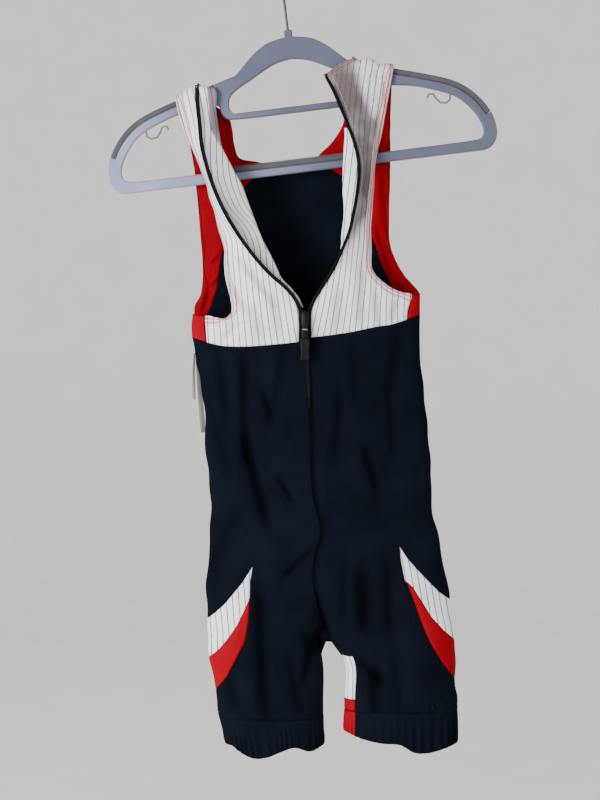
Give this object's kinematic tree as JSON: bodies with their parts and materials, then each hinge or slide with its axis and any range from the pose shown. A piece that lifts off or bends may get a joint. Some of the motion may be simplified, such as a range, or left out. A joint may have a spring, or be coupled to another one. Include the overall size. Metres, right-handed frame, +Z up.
{
  "type": "triathlon suit on a hanger",
  "caption": "Sleeveless one-piece race suit with short legs, hanging on a plastic hanger with its front zip open to the chest.",
  "frame": {"origin": "the inside top of the wire hook, where it hangs on its rail", "axes": "+Z up, +Y to the back of the suit, +X to the wearer's left"},
  "size_m": [0.4457, 0.0784, 0.9207],
  "materials": {
    "white_cloth": "white stretch cloth with thin grey pinstripes",
    "black_cloth": "matte blue-black stretch cloth",
    "red_cloth": "red stretch cloth",
    "label_ribbon": "soft white ribbon, blank",
    "zip_tape": "black zip tape with moulded teeth",
    "zip_metal": "black coated slider and moulded pull",
    "hanger_plastic": "lilac grey moulded plastic",
    "grip_rubber": "dark grey soft strips",
    "hook_wire": "bare steel wire"
  },
  "bodies": {
    "suit": {"back_body_l": "black_cloth", "back_body_r": "black_cloth", "back_leg_l": "black_cloth", "back_leg_r": "black_cloth", "back_strap_l": "red_cloth", "back_strap_r": "red_cloth", "back_upper": "black_cloth", "band_red_l": "red_cloth", "band_red_r": "red_cloth", "band_white_l": "white_cloth", "band_white_r": "white_cloth", "cuff_l": "black_cloth", "cuff_r": "black_cloth", "front_body_l": "black_cloth", "front_body_r": "black_cloth", "front_yoke_l": "white_cloth", "front_yoke_r": "white_cloth", "grip_bar": "grip_rubber", "grip_l": "grip_rubber", "grip_r": "grip_rubber", "hanger": "hanger_plastic", "inseam_red_l": "red_cloth", "inseam_white_l": "white_cloth", "label_long": "label_ribbon", "label_short": "label_ribbon", "side_l": "red_cloth", "side_r": "red_cloth", "strap_hook_l": "hanger_plastic", "strap_hook_r": "hanger_plastic", "wire_hook": "hook_wire", "zip_closed": "zip_tape", "zip_facing_l": "white_cloth", "zip_flap_r": "white_cloth", "zip_slider": "zip_metal", "zip_tape_l": "zip_tape", "zip_tape_r": "zip_tape"},
    "pull": {"pull": "zip_metal"}
  },
  "joints": [
    {"name": "pull_swing", "type": "hinge", "parent": "suit", "child": "pull", "pos_m": [0.0056, -0.0337, -0.4311], "axis": [-1, 0, 0], "range_deg": [0, 150]}
  ]
}
